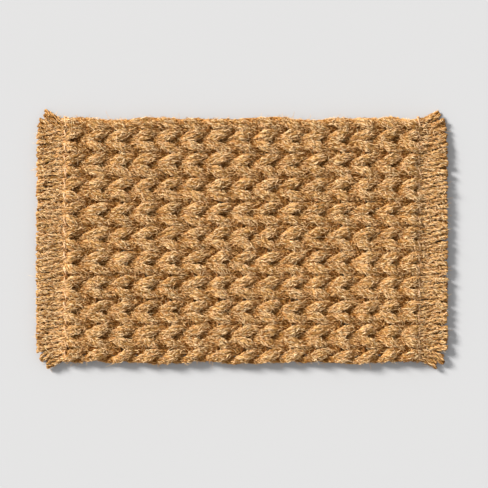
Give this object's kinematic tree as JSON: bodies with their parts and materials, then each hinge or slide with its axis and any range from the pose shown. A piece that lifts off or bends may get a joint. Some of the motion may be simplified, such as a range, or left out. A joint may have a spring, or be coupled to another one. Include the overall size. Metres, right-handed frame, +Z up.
{
  "type": "door mat",
  "caption": "Rectangular woven coir door mat: rows of thick twisted strands, bound near both ends, with the strand ends left as a fringe.",
  "frame": {"origin": "middle of the mat's footprint, on the floor it lies on", "axes": "+X along the rows, fringe to fringe; +Y across the rows; +Z up"},
  "size_m": [0.762, 0.4822, 0.0246],
  "materials": {
    "coir_strand": "rough, hairy coconut fibre",
    "coir_warp": "rough coconut fibre cord",
    "binding_thread": "dull, pale twisted thread"
  },
  "bodies": {
    "root": {"row_01_strand_a": "coir_strand", "row_01_strand_b": "coir_strand", "row_02_strand_a": "coir_strand", "row_02_strand_b": "coir_strand", "row_03_strand_a": "coir_strand", "row_03_strand_b": "coir_strand", "row_04_strand_a": "coir_strand", "row_04_strand_b": "coir_strand", "row_05_strand_a": "coir_strand", "row_05_strand_b": "coir_strand", "row_06_strand_a": "coir_strand", "row_06_strand_b": "coir_strand", "row_07_strand_a": "coir_strand", "row_07_strand_b": "coir_strand", "row_08_strand_a": "coir_strand", "row_08_strand_b": "coir_strand", "row_09_strand_a": "coir_strand", "row_09_strand_b": "coir_strand", "row_10_strand_a": "coir_strand", "row_10_strand_b": "coir_strand", "row_11_strand_a": "coir_strand", "row_11_strand_b": "coir_strand", "row_12_strand_a": "coir_strand", "row_12_strand_b": "coir_strand", "row_13_strand_a": "coir_strand", "row_13_strand_b": "coir_strand", "row_14_strand_a": "coir_strand", "row_14_strand_b": "coir_strand", "row_15_strand_a": "coir_strand", "row_15_strand_b": "coir_strand", "row_16_strand_a": "coir_strand", "row_16_strand_b": "coir_strand", "row_17_strand_a": "coir_strand", "row_17_strand_b": "coir_strand", "row_18_strand_a": "coir_strand", "row_18_strand_b": "coir_strand", "row_19_strand_a": "coir_strand", "row_19_strand_b": "coir_strand", "row_20_strand_a": "coir_strand", "row_20_strand_b": "coir_strand", "warp_cord_01": "coir_warp", "warp_cord_02": "coir_warp", "warp_cord_03": "coir_warp", "warp_cord_04": "coir_warp", "warp_cord_05": "coir_warp", "warp_cord_06": "coir_warp", "warp_cord_07": "coir_warp", "warp_cord_08": "coir_warp", "warp_cord_09": "coir_warp", "warp_cord_10": "coir_warp", "warp_cord_11": "coir_warp", "warp_cord_12": "coir_warp", "warp_cord_13": "coir_warp", "warp_cord_14": "coir_warp", "warp_cord_15": "coir_warp", "left_binding_thread_a": "binding_thread", "left_binding_thread_b": "binding_thread", "right_binding_thread_a": "binding_thread", "right_binding_thread_b": "binding_thread"}
  },
  "joints": []
}
